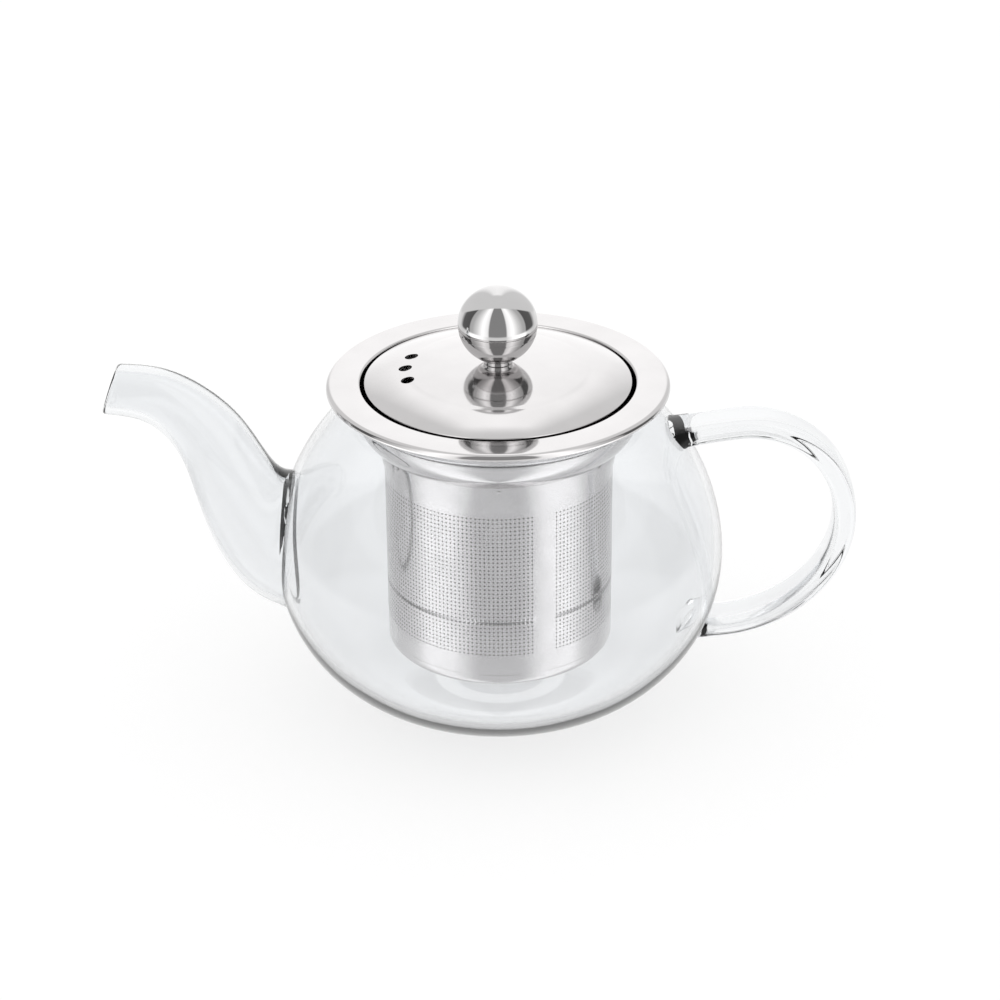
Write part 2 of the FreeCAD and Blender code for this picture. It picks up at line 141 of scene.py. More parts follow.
def turned(name, outline, segments=192):
    """The outline's point (r, z) goes to (r cos a, r sin a, z) for every angle a. An outline
    that ends on the axis is closed by a pole there, and any other one runs back to its start."""
    outline = np.asarray(outline, float)
    on_axis = outline[:, 0] < 1e-9
    rings = outline[~on_axis]
    angles = np.arange(segments) * 2 * np.pi / segments
    points = np.stack([np.outer(rings[:, 0], np.cos(angles)), np.outer(rings[:, 0], np.sin(angles)),
                       np.repeat(rings[:, 1:], segments, 1)], -1).reshape(-1, 3)
    here = np.arange(segments)
    beside = (here + 1) % segments
    closed = not on_axis.any()
    pairs = len(rings) if closed else len(rings) - 1
    low = np.arange(pairs)[:, None] * segments
    high = ((np.arange(pairs) + 1) % len(rings))[:, None] * segments
    quads = np.stack([low + here, low + beside, high + beside, high + here], -1).reshape(-1, 4)
    faces = quads.tolist()
    if on_axis[0]:
        faces += np.stack([here * 0 + len(points), beside, here], -1).tolist()
        points = np.vstack([points, [0, 0, outline[0, 1]]])
    if on_axis[-1] and len(outline) > 1 and not closed:
        last = (len(rings) - 1) * segments
        faces += np.stack([here * 0 + len(points), last + here, last + beside], -1).tolist()
        points = np.vstack([points, [0, 0, outline[-1, 1]]])
    return mesh_of(name, points * mm, faces)


def arc(centre, reach, start, end, steps, rise=None):
    """Points at centre + (reach cos t, rise sin t) for t from start to end, in degrees."""
    t = np.radians(np.linspace(start, end, steps))
    rise = reach if rise is None else rise
    return np.stack([centre[0] + reach * np.cos(t), centre[1] + rise * np.sin(t)], -1)


body_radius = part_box("glass_bowl")[1].x / mm
mouth_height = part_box("glass_shoulder")[1].z / mm
belly_height = 36.3
foot_radius = 15.8
foot_width = 4.8
foot_hollow = 0.8
wall = 1.8
base = 2.6
shoulder_rise = 52.6
shoulder_centre = -7.0
neck_radius = 35.1
neck_fillet = 2.5
fillet_turn = neck_fillet * 1.2  # how much of the shoulder's arc the fillet takes, in degrees
fillet_rise = neck_fillet * 0.9
foot_round = 1.5
core_over = 5  # how far the core stands out of the mouth


def shoulder_end(inset):
    """The angle on the shoulder's ellipse, inset by part of the wall, where the neck begins."""
    reach = body_radius - inset - shoulder_centre
    return math.degrees(math.acos((neck_radius - inset - shoulder_centre) / reach))


def neck_bend(inset):
    """The hollow curve from the shoulder into the neck: a quadratic Bezier from a point on the
    ellipse, over the corner, to a point on the straight neck."""
    end = shoulder_end(inset)
    reach = body_radius - inset - shoulder_centre
    centre = (shoulder_centre, belly_height)
    corner = arc(centre, reach, end, end + 1, 2, shoulder_rise - inset)[0]
    start = arc(centre, reach, end - fillet_turn, end, 2, shoulder_rise - inset)[0]
    finish = corner + [0, fillet_rise]
    t = np.linspace(0, 1, 9)[:, None]
    return (1 - t) ** 2 * start + 2 * t * (1 - t) * corner + t ** 2 * finish


def blown_outline(inset, floor, foot):
    """The pot's outline from the edge of the foot to the neck, inset by part of the wall. The
    lower half is a quarter of an ellipse on the foot, the upper half part of a taller one."""
    reach = body_radius - inset - foot
    lower = arc((foot, belly_height), reach, -90, 0, 56, belly_height - floor)
    upper = arc((shoulder_centre, belly_height), body_radius - inset - shoulder_centre, 0,
                shoulder_end(inset) - fillet_turn, 56, shoulder_rise - inset)
    return np.vstack([lower[:-1], upper[:-1], neck_bend(inset)])


outer = blown_outline(0, 0, foot_radius)
inner = blown_outline(wall, base, foot_radius)
lip = arc((neck_radius - wall / 2, mouth_height - wall / 2), wall / 2, 0, 180, 13)
hollow = np.stack([np.linspace(0, foot_radius - foot_width, 10),
                   foot_hollow * (1 - np.linspace(0, 1, 10) ** 2)], -1)
hollow[0, 0] = 0
floor_line = np.stack([np.linspace(foot_radius, 0, 8), np.full(8, base)], -1)
pot_outline = np.vstack([hollow, [[foot_radius - foot_round, 0]], outer, lip, inner[::-1],
                         floor_line[1:]])
pot_outline[-1, 0] = 0
pot = turned("glass_pot_wall", pot_outline, 256)

middle = blown_outline(wall / 2, base / 2, foot_radius)
core_top = mouth_height + core_over
core_outline = np.vstack([[[0, base / 2]], middle, [[neck_radius - wall / 2, core_top]],
                          [[0, core_top]]])
core = turned("core", core_outline, 256)


def through(points, steps):
    """A natural cubic spline through the points, measured along its chords. Its bending at each
    point is found from one set of linear equations."""
    points = np.asarray(points, float)
    t = np.concatenate([[0], np.cumsum(np.linalg.norm(np.diff(points, axis=0), axis=1))])
    h = np.diff(t)
    n = len(points)
    left = np.eye(n)
    right = np.zeros((n, points.shape[1]))
    for i in range(1, n - 1):
        left[i, i - 1:i + 2] = [h[i - 1], 2 * (h[i - 1] + h[i]), h[i]]
        right[i] = 6 * ((points[i + 1] - points[i]) / h[i] - (points[i] - points[i - 1]) / h[i - 1])
    bend = np.linalg.solve(left, right)
    s = np.linspace(0, t[-1], steps)
    k = np.clip(np.searchsorted(t, s, side="right") - 1, 0, n - 2)
    a = ((t[k + 1] - s) / h[k])[:, None]
    b = 1 - a
    h2 = (h[k] ** 2 / 6)[:, None]
    curved = h2 * ((a ** 3 - a) * bend[k] + (b ** 3 - b) * bend[k + 1])
    return a * points[k] + b * points[k + 1] + curved


def clear_of_pot(points):
    """How far points lie outside the pot's wall, in mm: the ellipse's own measure less one, over
    its slope."""
    r = np.hypot(points[..., 0], points[..., 1])
    z = points[..., 2] - belly_height
    upper = z > 0
    centre = np.where(upper, shoulder_centre, foot_radius)
    reach = body_radius - centre
    rise = np.where(upper, shoulder_rise, belly_height)
    u = (r - centre) / reach
    v = z / rise
    measure = np.sqrt(u ** 2 + v ** 2)
    slope = np.sqrt((u / reach) ** 2 + (v / rise) ** 2) / measure
    return (measure - 1) / slope


def bar(name, rings):
    """A closed bar from an array of rings of points, with a fan over each end."""
    count, around = rings.shape[:2]
    points = rings.reshape(-1, 3)
    here = np.arange(around)
    beside = (here + 1) % around
    low = np.arange(count - 1)[:, None] * around
    faces = np.stack([low + here, low + beside, low + around + beside, low + around + here], -1)
    faces = faces.reshape(-1, 4).tolist()
    first, last = len(points), len(points) + 1
    points = np.vstack([points, rings[0].mean(0), rings[-1].mean(0)])
    faces += np.stack([here * 0 + first, beside, here], -1).tolist()
    end = (count - 1) * around
    faces += np.stack([here * 0 + last, end + here, end + beside], -1).tolist()
    return mesh_of(name, points * mm, faces)


spout_top = [(-42.5, 55.0), (-50.5, 56.6), (-54.3, 61.6), (-60.0, 71.0), (-67.5, 78.2),
             (-77.0, 83.0), (-86.4, 84.25)]
spout_bottom = [(-42.5, 21.5), (-56.5, 25.5), (-65.6, 37.0), (-70.6, 51.5), (-74.2, 62.6),
                (-81.0, 70.3), (-90.6, 72.65)]
spout_wall = 1.7
spout_root = 14.5
spout_tip = 5.7
spout_weld = 0.5
spout_weld_reach = 2.0


def spout_rings(inset, steps=110, around=72):
    """Ovals between the spout's two outlines. Each is centre + up half height cos a + across
    half width sin a. Near the pot the outside swells into the weld."""
    share = np.linspace(0, 1, steps)
    top = through(spout_top, steps)
    bottom = through(spout_bottom, steps)
    half_width = spout_tip + (spout_root - spout_tip) * (1 - share) ** 1.4
    across = (top - bottom) / 2
    tall = np.linalg.norm(across, axis=1)
    centre = (top + bottom) / 2
    up = across / tall[:, None]
    angles = np.arange(around) * 2 * np.pi / around
    up_part = (tall[:, None] - inset) * np.cos(angles)
    side_part = (half_width[:, None] - inset) * np.sin(angles)
    rings = np.stack([centre[:, None, 0] + up[:, None, 0] * up_part, side_part,
                      centre[:, None, 1] + up[:, None, 1] * up_part], -1)
    if inset == 0:
        middle_line = rings.mean(1, keepdims=True)
        outward = rings - middle_line
        outward /= np.linalg.norm(outward, axis=-1, keepdims=True)
        gap = np.maximum(clear_of_pot(rings), 0)
        rings = rings + outward * (spout_weld * np.exp(-gap / spout_weld_reach))[..., None]
    return rings


def round_lip(rings, thickness):
    """Rounds the end of the spout's outside: the last rings draw in along a quarter circle."""
    direction = rings[-1].mean(0) - rings[-2].mean(0)
    direction /= np.linalg.norm(direction)
    centre = rings[-1].mean(0)
    t = np.radians(np.linspace(15, 90, 6))
    added = []
    for turn in t:
        inward = thickness * (1 - math.cos(turn))
        spread = rings[-1] - centre
        size = np.linalg.norm(spread, axis=1, keepdims=True)
        added.append(centre + spread * (1 - inward / size) + direction * thickness * math.sin(turn))
    return np.concatenate([rings, np.array(added)])


spout_bar = bar("spout_bar", round_lip(spout_rings(0), spout_wall / 2))
bore_rings = spout_rings(spout_wall)
run_out_steps = 8  # how many more steps the bore runs on past the lip
run_out = (bore_rings[-1] - bore_rings[-2]) * run_out_steps
bore = bar("spout_bore", np.concatenate([bore_rings, bore_rings[-1:] + run_out[None]]))

handle_start = (44.9, 66.9)
handle_heading = 10.0
handle_bends = ((10.6, -2.7), (26.5, -68.4), (27.9, -64.0), (29.2, -50.4))
handle_run_in = 10.0
strap_width = 10.8
strap_thickness = 5.4
strap_squareness = 3.2
handle_weld = 0.5
handle_weld_reach = 1.5


def handle_rings(steps=260, around=64):
    """The strap's middle line turns evenly along each bend: its heading is added up from the
    turns, and its place from the heading. The section is the curve |x/a|^n + |y/b|^n = 1."""
    lengths = np.array([0, handle_run_in] + [b[0] for b in handle_bends] + [handle_run_in])
    turns = np.array([0, 0] + [b[1] for b in handle_bends] + [0])
    ends = np.cumsum(lengths)
    s = np.linspace(0, ends[-1], steps)
    heading = np.radians(handle_heading + np.interp(s, ends, np.cumsum(turns)))
    step = s[1] - s[0]
    move = np.stack([np.cos(heading), np.sin(heading)], -1)
    middle_move = (move[1:] + move[:-1]) / 2 * step
    line = np.vstack([[0, 0], np.cumsum(middle_move, axis=0)])
    line += np.array(handle_start) - [np.interp(handle_run_in, s, line[:, 0]),
                                      np.interp(handle_run_in, s, line[:, 1])]
    normal = np.stack([-move[:, 1], move[:, 0]], -1)
    angles = np.arange(around) * 2 * np.pi / around
    power = 2 / strap_squareness
    across = np.sign(np.cos(angles)) * np.abs(np.cos(angles)) ** power * strap_width / 2
    through_strap = np.sign(np.sin(angles)) * np.abs(np.sin(angles)) ** power * strap_thickness / 2
    centre = np.stack([line[:, 0], line[:, 0] * 0, line[:, 1]], -1)[:, None]
    offset = np.stack([normal[:, None, 0] * through_strap, np.broadcast_to(across, (steps, around)),
                       normal[:, None, 1] * through_strap], -1)
    rings = centre + offset
    size = np.linalg.norm(offset, axis=-1, keepdims=True)
    gap = np.maximum(clear_of_pot(rings), 0)
    return rings + offset / size * (handle_weld * np.exp(-gap / handle_weld_reach))[..., None]


handle_bar = bar("handle_bar", handle_rings())


def outward(mesh):
    """Turns every face of a closed mesh to point out of it."""
    work = bmesh.new()
    work.from_mesh(mesh)
    bmesh.ops.recalc_face_normals(work, faces=work.faces)
    work.to_mesh(mesh)
    work.free()
    return mesh


def combined(mesh, *steps):
    """The mesh after each step (operation, other mesh) is carried out on it."""
    target = bpy.data.objects.new("target", outward(mesh))
    bpy.context.scene.collection.objects.link(target)
    for operation, other in steps:
        tool = bpy.data.objects.new("tool", outward(other))
        bpy.context.scene.collection.objects.link(tool)
        change = target.modifiers.new("change", "BOOLEAN")
        change.operation = operation
        change.solver = "MANIFOLD"
        change.object = tool
        graph = bpy.context.evaluated_depsgraph_get()
        result = bpy.data.meshes.new_from_object(target.evaluated_get(graph))
        target.modifiers.clear()
        target.data = result
        bpy.data.objects.remove(tool)
    result = target.data
    bpy.data.objects.remove(target)
    return result


spout_cut = combined(spout_bar, ("DIFFERENCE", core.copy()))
handle_cut = combined(handle_bar, ("DIFFERENCE", core.copy()))
glass = combined(pot, ("UNION", spout_cut), ("UNION", handle_cut), ("DIFFERENCE", bore))
glass.name = "blown_glass_pot"
glass.polygons.foreach_set("use_smooth", [True] * len(glass.polygons))
clear_glass = borosilicate_glass()
show(glass, clear_glass, "glass_pot", "clear_glass", "glass_bowl", "glass_shoulder", "glass_spout",
     "glass_handle", crease=50)

# --- Strainer rim ---
# One pressing in 18/8 stainless sheet, half a millimetre thick: the flat rim with its edge rolled
# down, the well that the lid sits in and the rounded collar. It is buffed after pressing.


def lathe_marks(tree, place, pitch, sweep):
    """Fine lines left by turning: noise on (sweep x/r, sweep y/r, (r + z) / pitch), so that it
    runs in rings on a flat face and round and round on a wall."""
    parts = add_node(tree, "ShaderNodeSeparateXYZ", Vector=place).outputs
    flat = add_node(tree, "ShaderNodeCombineXYZ", X=parts[0], Y=parts[1]).outputs[0]
    radius = add_node(tree, "ShaderNodeVectorMath", {"operation": "LENGTH"}, in_0=flat)
    way = add_node(tree, "ShaderNodeVectorMath", {"operation": "NORMALIZE"}, in_0=flat)
    round_way = add_node(tree, "ShaderNodeVectorMath", {"operation": "SCALE"}, in_0=way.outputs[0],
                         Scale=sweep)
    along = add_node(tree, "ShaderNodeMath", {"operation": "ADD"}, in_0=radius.outputs["Value"],
                     in_1=parts[2])
    lines = add_node(tree, "ShaderNodeMath", {"operation": "DIVIDE"}, in_0=along.outputs[0],
                     in_1=pitch)
    line_way = add_node(tree, "ShaderNodeCombineXYZ", Z=lines.outputs[0])
    spot = add_node(tree, "ShaderNodeVectorMath", {"operation": "ADD"}, in_0=round_way.outputs[0],
                    in_1=line_way.outputs[0])
    noise = add_node(tree, "ShaderNodeTexNoise", Vector=spot.outputs[0], Scale=1.0, Detail=2.0)
    return noise.outputs["Fac"]


def stainless(name, colour, deep_colour, roughness, mark_pitch, mark_depth, haze_size):
    """Stainless steel: a warm light grey metal. Its lathe or buffing marks are relief, and faint
    clouds of polish change its gloss and its grey by a few hundredths."""
    material, tree = new_material(name)
    place = add_node(tree, "ShaderNodeTexCoord").outputs["Object"]
    marks = lathe_marks(tree, place, mark_pitch, 2.5)
    clouds = add_node(tree, "ShaderNodeTexNoise", Vector=place, Scale=1 / haze_size, Detail=3.0)
    gloss = add_node(tree, "ShaderNodeMapRange", Value=clouds.outputs["Fac"], From_Min=0.3,
                     From_Max=0.7, To_Min=roughness * 0.8, To_Max=roughness * 1.25)
    tint = add_node(tree, "ShaderNodeMix", {"data_type": "RGBA"}, in_0=clouds.outputs["Fac"],
                    in_6=linear(colour), in_7=linear(deep_colour))
    bump = add_node(tree, "ShaderNodeBump", Height=marks, Strength=1.0, Distance=mark_depth)
    shader = add_node(tree, "ShaderNodeBsdfPrincipled", Base_Color=tint.outputs[2], Metallic=1.0,
                      Roughness=gloss.outputs[0], Normal=bump.outputs["Normal"])
    add_node(tree, "ShaderNodeOutputMaterial", Surface=shader.outputs["BSDF"])
    return material


# Buffed 18/8 sheet: nearly a mirror, with buffing lines too fine to count, drawn 0.35 mm apart.
buffed_steel = stainless("buffed_stainless_steel", "#DDDBDB", "#D2D0D0", 0.08, 0.35 * mm,
                         0.0006 * mm, 9 * mm)

flange_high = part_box("infuser_flange")[1]
rim_radius = flange_high.x / mm
rim_height = flange_high.z / mm
sheet = 0.5
rim_edge = 1.1
rim_drop = 1.5
well_radius = 31.75
well_depth = 5.2
well_edge = 0.6
collar_radius = 11.0
strainer_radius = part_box("infuser_wall")[1].x / mm
edge_centre = (rim_radius - rim_edge, rim_height - rim_edge)
well_centre = (well_radius + well_edge, rim_height - well_edge)
collar_centre = (well_radius + sheet - collar_radius, rim_height - well_depth)


def collar_end(reach):
    """The angle, in degrees, at which an arc of the collar meets the strainer's wall: its cosine
    is the wall's distance from the arc's middle over the arc's reach."""
    return -math.degrees(math.acos((strainer_radius - collar_centre[0]) / reach))


collar_inside = collar_radius - sheet
lip_end = arc((rim_radius - sheet / 2, rim_height - rim_drop + sheet / 2), sheet / 2, 180, 360, 7)
rim_outline = np.vstack([
    lip_end,
    arc(edge_centre, rim_edge, 0, 90, 12),
    arc(well_centre, well_edge, 90, 180, 12),
    arc(collar_centre, collar_inside, 0, collar_end(collar_inside), 30),
    arc(collar_centre, collar_radius, collar_end(collar_radius), 0, 30),
    arc(well_centre, well_edge - sheet, 180, 90, 8),
    arc(edge_centre, rim_edge - sheet, 90, 0, 8),
])
rim = turned("strainer_rim", rim_outline, 288)
show(outward(rim), buffed_steel, "infuser", "polished_steel", "infuser_flange")

# --- Strainer wall ---
# A strip of stainless sheet etched with small round holes a millimetre apart, rolled up and
# lap-welded. The lap is left plain. A fine bead is rolled in near the bottom to keep it round.
wall_low, wall_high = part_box("infuser_wall")
hole_pitch = 1.0
hole_radius = 0.22
first_row = 22.2
rows = 36
columns = round(2 * math.pi * strainer_radius / hole_pitch)
lap_columns = 5
lap_angle = -67.1
bead_row = 9
bead_depth = 0.18


def on_wall(angle, height, depth):
    """(R cos a, R sin a, z), where R is the wall's outside less a depth."""
    reach = strainer_radius - depth
    return np.stack([reach * np.cos(angle), reach * np.sin(angle), height], -1)


def perforated_wall():
    """A grid of square cells wrapped round the axis, on both faces of the sheet. Each cell is
    split round a six-sided hole, whose own side joins the two faces."""
    cell = 2 * np.pi / columns
    hole_lines = first_row - hole_pitch / 2 + np.arange(rows + 1) * hole_pitch
    below = 3
    above = 6
    levels = np.concatenate([np.linspace(wall_low.z / mm, hole_lines[0], below + 1)[:-1],
                             hole_lines,
                             np.linspace(hole_lines[-1], wall_high.z / mm, above + 1)[1:]])
    angles = math.radians(lap_angle) + (np.arange(columns) - lap_columns / 2) * cell
    dent = np.zeros(len(levels))
    dent[below + bead_row] = bead_depth
    grid_angles = np.broadcast_to(angles, (len(levels), columns))
    grid_levels = np.broadcast_to(levels[:, None], (len(levels), columns))
    faces_of_sheet = [on_wall(grid_angles, grid_levels, dent[:, None] + depth).reshape(-1, 3)
                      for depth in (0, sheet)]
    grid_count = len(levels) * columns
    row, column = np.meshgrid(np.arange(rows), np.arange(lap_columns, columns), indexing="ij")
    row, column = row.ravel(), column.ravel()
    turn = np.arange(6) * np.pi / 3
    hole_angle = (angles[column] + cell / 2)[:, None] + hole_radius * np.cos(turn) / strainer_radius
    hole_level = (hole_lines[row] + hole_pitch / 2)[:, None] + hole_radius * np.sin(turn)
    hole_points = [on_wall(hole_angle, hole_level, depth).reshape(-1, 3) for depth in (0, sheet)]
    points = np.vstack(faces_of_sheet + hole_points)

    faces = []
    beside = (np.arange(columns) + 1) % columns
    holed = np.zeros((len(levels) - 1, columns), bool)
    holed[below:below + rows, lap_columns:] = True
    plain_row, plain_column = np.nonzero(~holed)
    for side in (0, 1):
        start = side * grid_count
        low = start + plain_row * columns
        high = low + columns
        quads = np.stack([low + plain_column, low + beside[plain_column],
                          high + beside[plain_column], high + plain_column], -1)
        c2 = start + (row + below) * columns + column
        c3 = start + (row + below) * columns + beside[column]
        c0 = c3 + columns
        c1 = c2 + columns
        v = 2 * grid_count + side * len(row) * 6 + np.arange(len(row))[:, None] * 6 + np.arange(6)
        triangles = [(c3, c0, v[:, 0]), (c0, v[:, 1], v[:, 0]), (c1, v[:, 3], v[:, 2]),
                     (c1, c2, v[:, 3]), (c2, v[:, 4], v[:, 3]), (c3, v[:, 0], v[:, 5])]
        triangles = np.concatenate([np.stack(t, -1) for t in triangles])
        spans = np.concatenate([np.stack([c0, c1, v[:, 2], v[:, 1]], -1),
                                np.stack([c2, c3, v[:, 5], v[:, 4]], -1)])
        for part in (quads, triangles, spans):
            faces += (part if side == 0 else part[:, ::-1]).tolist()
    near = 2 * grid_count + np.arange(len(row))[:, None] * 6 + np.arange(6)
    far = near + len(row) * 6
    sides = np.stack([near, np.roll(near, -1, 1), np.roll(far, -1, 1), far], -1).reshape(-1, 4)
    faces += sides.tolist()
    here = np.arange(columns)
    top = (len(levels) - 1) * columns
    faces += np.stack([here + grid_count, beside + grid_count, beside, here], -1).tolist()
    faces += np.stack([top + here, top + beside, top + beside + grid_count,
                       top + here + grid_count], -1).tolist()
    return mesh_of("strainer_wall", points * mm, faces)


# Etched sheet keeps the mill's satin finish: soft reflections, drawn out by rolling lines
# 0.5 mm apart.
satin_steel = stainless("satin_stainless_steel", "#DAD8D8", "#CDCBCB", 0.17, 0.5 * mm,
                        0.0006 * mm, 6 * mm)
show(perforated_wall(), satin_steel, "infuser", "satin_steel", "infuser_wall", crease=35)

# --- Spot welds ---
# The wall is spot-welded to the collar at six places round the top. Each weld is a shallow
# dished spot a millimetre across.
weld_count = 6
weld_radius = 0.55
weld_height = 63.9
weld_rise = 0.13


def spot_welds():
    """Rings of radius s about each weld's middle, whose height off the wall is
    rise (4 s^2 - 3 s^4) for s from 0 to 1, and a last ring sunk into the sheet."""
    share = np.array([0, 0.3, 0.55, 0.8, 1.0, 1.0])
    rise = weld_rise * (4 * share ** 2 - 3 * share ** 4)
    rise[-1] = -sheet / 2
    sides = 16
    bands = len(share) - 2
    around = np.arange(sides) * 2 * np.pi / sides
    points, faces = [], []
    for weld in range(weld_count):
        angle = math.radians(-90 + weld * 360 / weld_count)
        across = weld_radius * share[1:, None] * np.cos(around)
        up = weld_radius * share[1:, None] * np.sin(around)
        ring = on_wall(angle + across / strainer_radius, weld_height + up, -rise[1:, None])
        back_point = 1 + (bands + 1) * sides
        start = weld * (back_point + 1)
        middle = on_wall(np.array(angle), np.array(weld_height), -rise[0])
        back = on_wall(np.array(angle), np.array(weld_height), sheet / 2)
        points.append(np.vstack([middle[None], ring.reshape(-1, 3), back[None]]))
        here = np.arange(sides)
        beside = (here + 1) % sides
        faces += (start + np.stack([here * 0, 1 + here, 1 + beside], -1)).tolist()
        low = start + 1 + np.arange(bands)[:, None] * sides
        high = low + sides
        rings = np.stack([low + here, high + here, high + beside, low + beside], -1)
        faces += rings.reshape(-1, 4).tolist()
        last = start + 1 + bands * sides
        faces += np.stack([last + beside, last + here, here * 0 + start + back_point], -1).tolist()
    return mesh_of("strainer_welds", np.vstack(points) * mm, faces)


show(outward(spot_welds()), satin_steel, "infuser", "satin_steel", crease=60)

# --- Strainer cup ---
# A shallow cup pressed in stainless sheet closes the bottom. Its upper edge is stepped in by the
# sheet's thickness, so that the wall slides over it, and is spot-welded there.
cup_low, cup_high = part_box("infuser_base")
cup_floor = cup_low.z / mm
cup_top = cup_high.z / mm
cup_step = wall_low.z / mm
cup_corner = 2.4
edge_break = 0.1
cup_inner = strainer_radius - 2 * sheet
cup_foot = (strainer_radius - cup_corner, cup_floor + cup_corner)
cup_inside = (cup_inner - cup_corner + sheet, cup_floor + cup_corner)
cup_outline = np.vstack([
    [[0, cup_floor]],
    np.stack([np.linspace(2, strainer_radius - cup_corner - 1, 12), np.full(12, cup_floor)], -1),
    arc(cup_foot, cup_corner, -90, 0, 14),
    [[strainer_radius, cup_step - edge_break], [strainer_radius - edge_break, cup_step],
     [strainer_radius - sheet, cup_step], [strainer_radius - sheet, cup_top - edge_break],
     [strainer_radius - sheet - edge_break, cup_top], [cup_inner, cup_top]],
    arc(cup_inside, cup_corner - sheet, 0, -90, 12),
    np.stack([np.linspace(cup_inside[0] - 1, 2, 12), np.full(12, cup_floor + sheet)], -1),
    [[0, cup_floor + sheet]],
])
cup = turned("strainer_cup", cup_outline, 192)
show(outward(cup), satin_steel, "infuser", "satin_steel", "infuser_base")

# --- Lid ---
# A shallow dome pressed in stainless sheet, with its edge turned down and three steam vents
# pierced near the spout side. It is buffed to a mirror.
dome_low, dome_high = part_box("lid_dome")
lid_radius = dome_high.x / mm
lid_apex = dome_high.z / mm
lid_edge = dome_low.z / mm
lid_sheet = 0.6
crown_radius = 115.0
lid_shoulder = 9.84
lid_bulge = 0.32
crown_reach = lid_radius - lid_shoulder
screw_hole = 2.1


def crown(radius, depth):
    """The crown's height at a radius, some depth under its outside: part of a ball."""
    return lid_apex - crown_radius + np.sqrt((crown_radius - depth) ** 2 - radius ** 2)


def bowed(start, end, bulge, steps):
    """A flat arc from start to end: the chord plus 4 bulge t (1 - t) square to it."""
    t = np.linspace(0, 1, steps)[:, None]
    chord = np.subtract(end, start)
    square = np.array([-chord[1], chord[0]]) / np.hypot(*chord)
    return start + chord * t + square * (4 * bulge * t * (1 - t))


crease_half = 0.4  # half the width of the soft crease between crown and shoulder
crease_half_under = 0.3
crease_drop = 0.12
bend_radius = 0.25
bend_drop = 0.22
bend_start = 72
bend_drop_under = 0.36
shoulder_drop_under = 0.33
crown_line = np.linspace(screw_hole, crown_reach - crease_half, 40)
outside = np.stack([crown_line, crown(crown_line, 0)], -1)
underside = np.stack([crown_line, crown(crown_line, lid_sheet)], -1)
crease_top = (crown_reach + crease_half, crown(crown_reach, 0) - crease_drop)
crease_under = (crown_reach + crease_half_under, crown(crown_reach, lid_sheet) - crease_drop)
edge_bend = arc((lid_radius - bend_radius, rim_height - bend_drop), bend_radius, bend_start, 0, 6)
inner_edge = lid_radius - lid_sheet
lid_outline = np.vstack([
    outside,
    bowed(crease_top, edge_bend[0], lid_bulge, 24)[:-1],
    edge_bend,
    [[lid_radius, lid_edge + edge_break], [lid_radius - edge_break, lid_edge],
     [inner_edge, lid_edge], [inner_edge, rim_height - bend_drop_under]],
    bowed((inner_edge, rim_height - shoulder_drop_under), crease_under, -lid_bulge, 24)[1:],
    underside[::-1],
])
lid = turned("lid_blank", lid_outline, 288)
vent_circle = crown_reach + 0.35
vent_radius = 1.55
vent_middle = 177.0
vent_step = 17.5
vent_angles = np.radians(vent_middle + vent_step * np.array([-1, 0, 1]))
cuts = []
for angle in vent_angles:
    drill = turned("drill", [[0, lid_edge - 1], [vent_radius, lid_edge - 1],
                             [vent_radius, lid_apex + 1], [0, lid_apex + 1]], 48)
    drill.transform(Matrix.Translation(Vector((math.cos(angle), math.sin(angle), 0))
                                       * vent_circle * mm))
    cuts.append(("DIFFERENCE", drill))
lid = combined(lid, *cuts)
lid.name = "lid_dome_sheet"
lid.polygons.foreach_set("use_smooth", [True] * len(lid.polygons))
show(lid, buffed_steel, "lid", "polished_steel", "lid_dome", crease=30)

# --- Lid skirt ---
# A plain ring of stainless sheet, spot-welded inside the lid's edge. It goes down into the well
# and keeps the lid on when the pot is tipped.
skirt_low, skirt_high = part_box("lid_skirt")
skirt_radius = skirt_high.x / mm
skirt_sheet = 0.5
skirt_middle = skirt_radius - skirt_sheet / 2
skirt_outline = np.vstack([
    arc((skirt_middle, skirt_high.z / mm - skirt_sheet / 2), skirt_sheet / 2, 0, 180, 9),
    arc((skirt_middle, skirt_low.z / mm + skirt_sheet / 2), skirt_sheet / 2, 180, 360, 9),
])
show(outward(turned("lid_skirt_ring", skirt_outline, 192)), satin_steel, "lid", "satin_steel",
     "lid_skirt")

# --- Ball knob ---
# Two halves of a hollow ball spun from stainless sheet, joined at a fine seam a little below its
# middle, ground and polished to a mirror.
upper_low, upper_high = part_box("knob_upper_shell")
lower_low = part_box("knob_lower_shell")[0]
seam_height = upper_low.z / mm
ball_radius = upper_high.x / mm
ball_centre = upper_high.z / mm - ball_radius
shell_sheet = 0.7
collar_reach = 4.8
seam_groove = 0.25
seam_edge = 0.12
degrees_in_radian = 57  # rounded, because the edge is only broken
seam_angle = math.degrees(math.asin((seam_height - ball_centre) / ball_radius))
inner_ball = ball_radius - shell_sheet
inner_seam = math.degrees(math.asin((seam_height - ball_centre) / inner_ball))
ball_middle = (0, ball_centre)
upper_outline = np.vstack([
    arc(ball_middle, ball_radius, 90, seam_angle + seam_edge / ball_radius * degrees_in_radian, 72),
    [[ball_radius * math.cos(math.radians(seam_angle)) - seam_edge, seam_height]],
    arc(ball_middle, inner_ball, inner_seam, 90, 40),
])
upper_outline[[0, -1], 0] = 0

groove_low = seam_height - seam_groove
groove_angle = math.degrees(math.asin((groove_low - ball_centre) / ball_radius))
groove_reach = ball_radius * math.cos(math.radians(seam_angle)) - seam_groove
hole_angle = -math.degrees(math.acos(collar_reach / ball_radius))
inner_hole = -math.degrees(math.acos(collar_reach / inner_ball))
lower_outline = np.vstack([
    arc(ball_middle, ball_radius, hole_angle, groove_angle, 48),
    [[groove_reach, groove_low], [groove_reach, seam_height]],
    arc(ball_middle, inner_ball, inner_seam, inner_hole, 36),
])
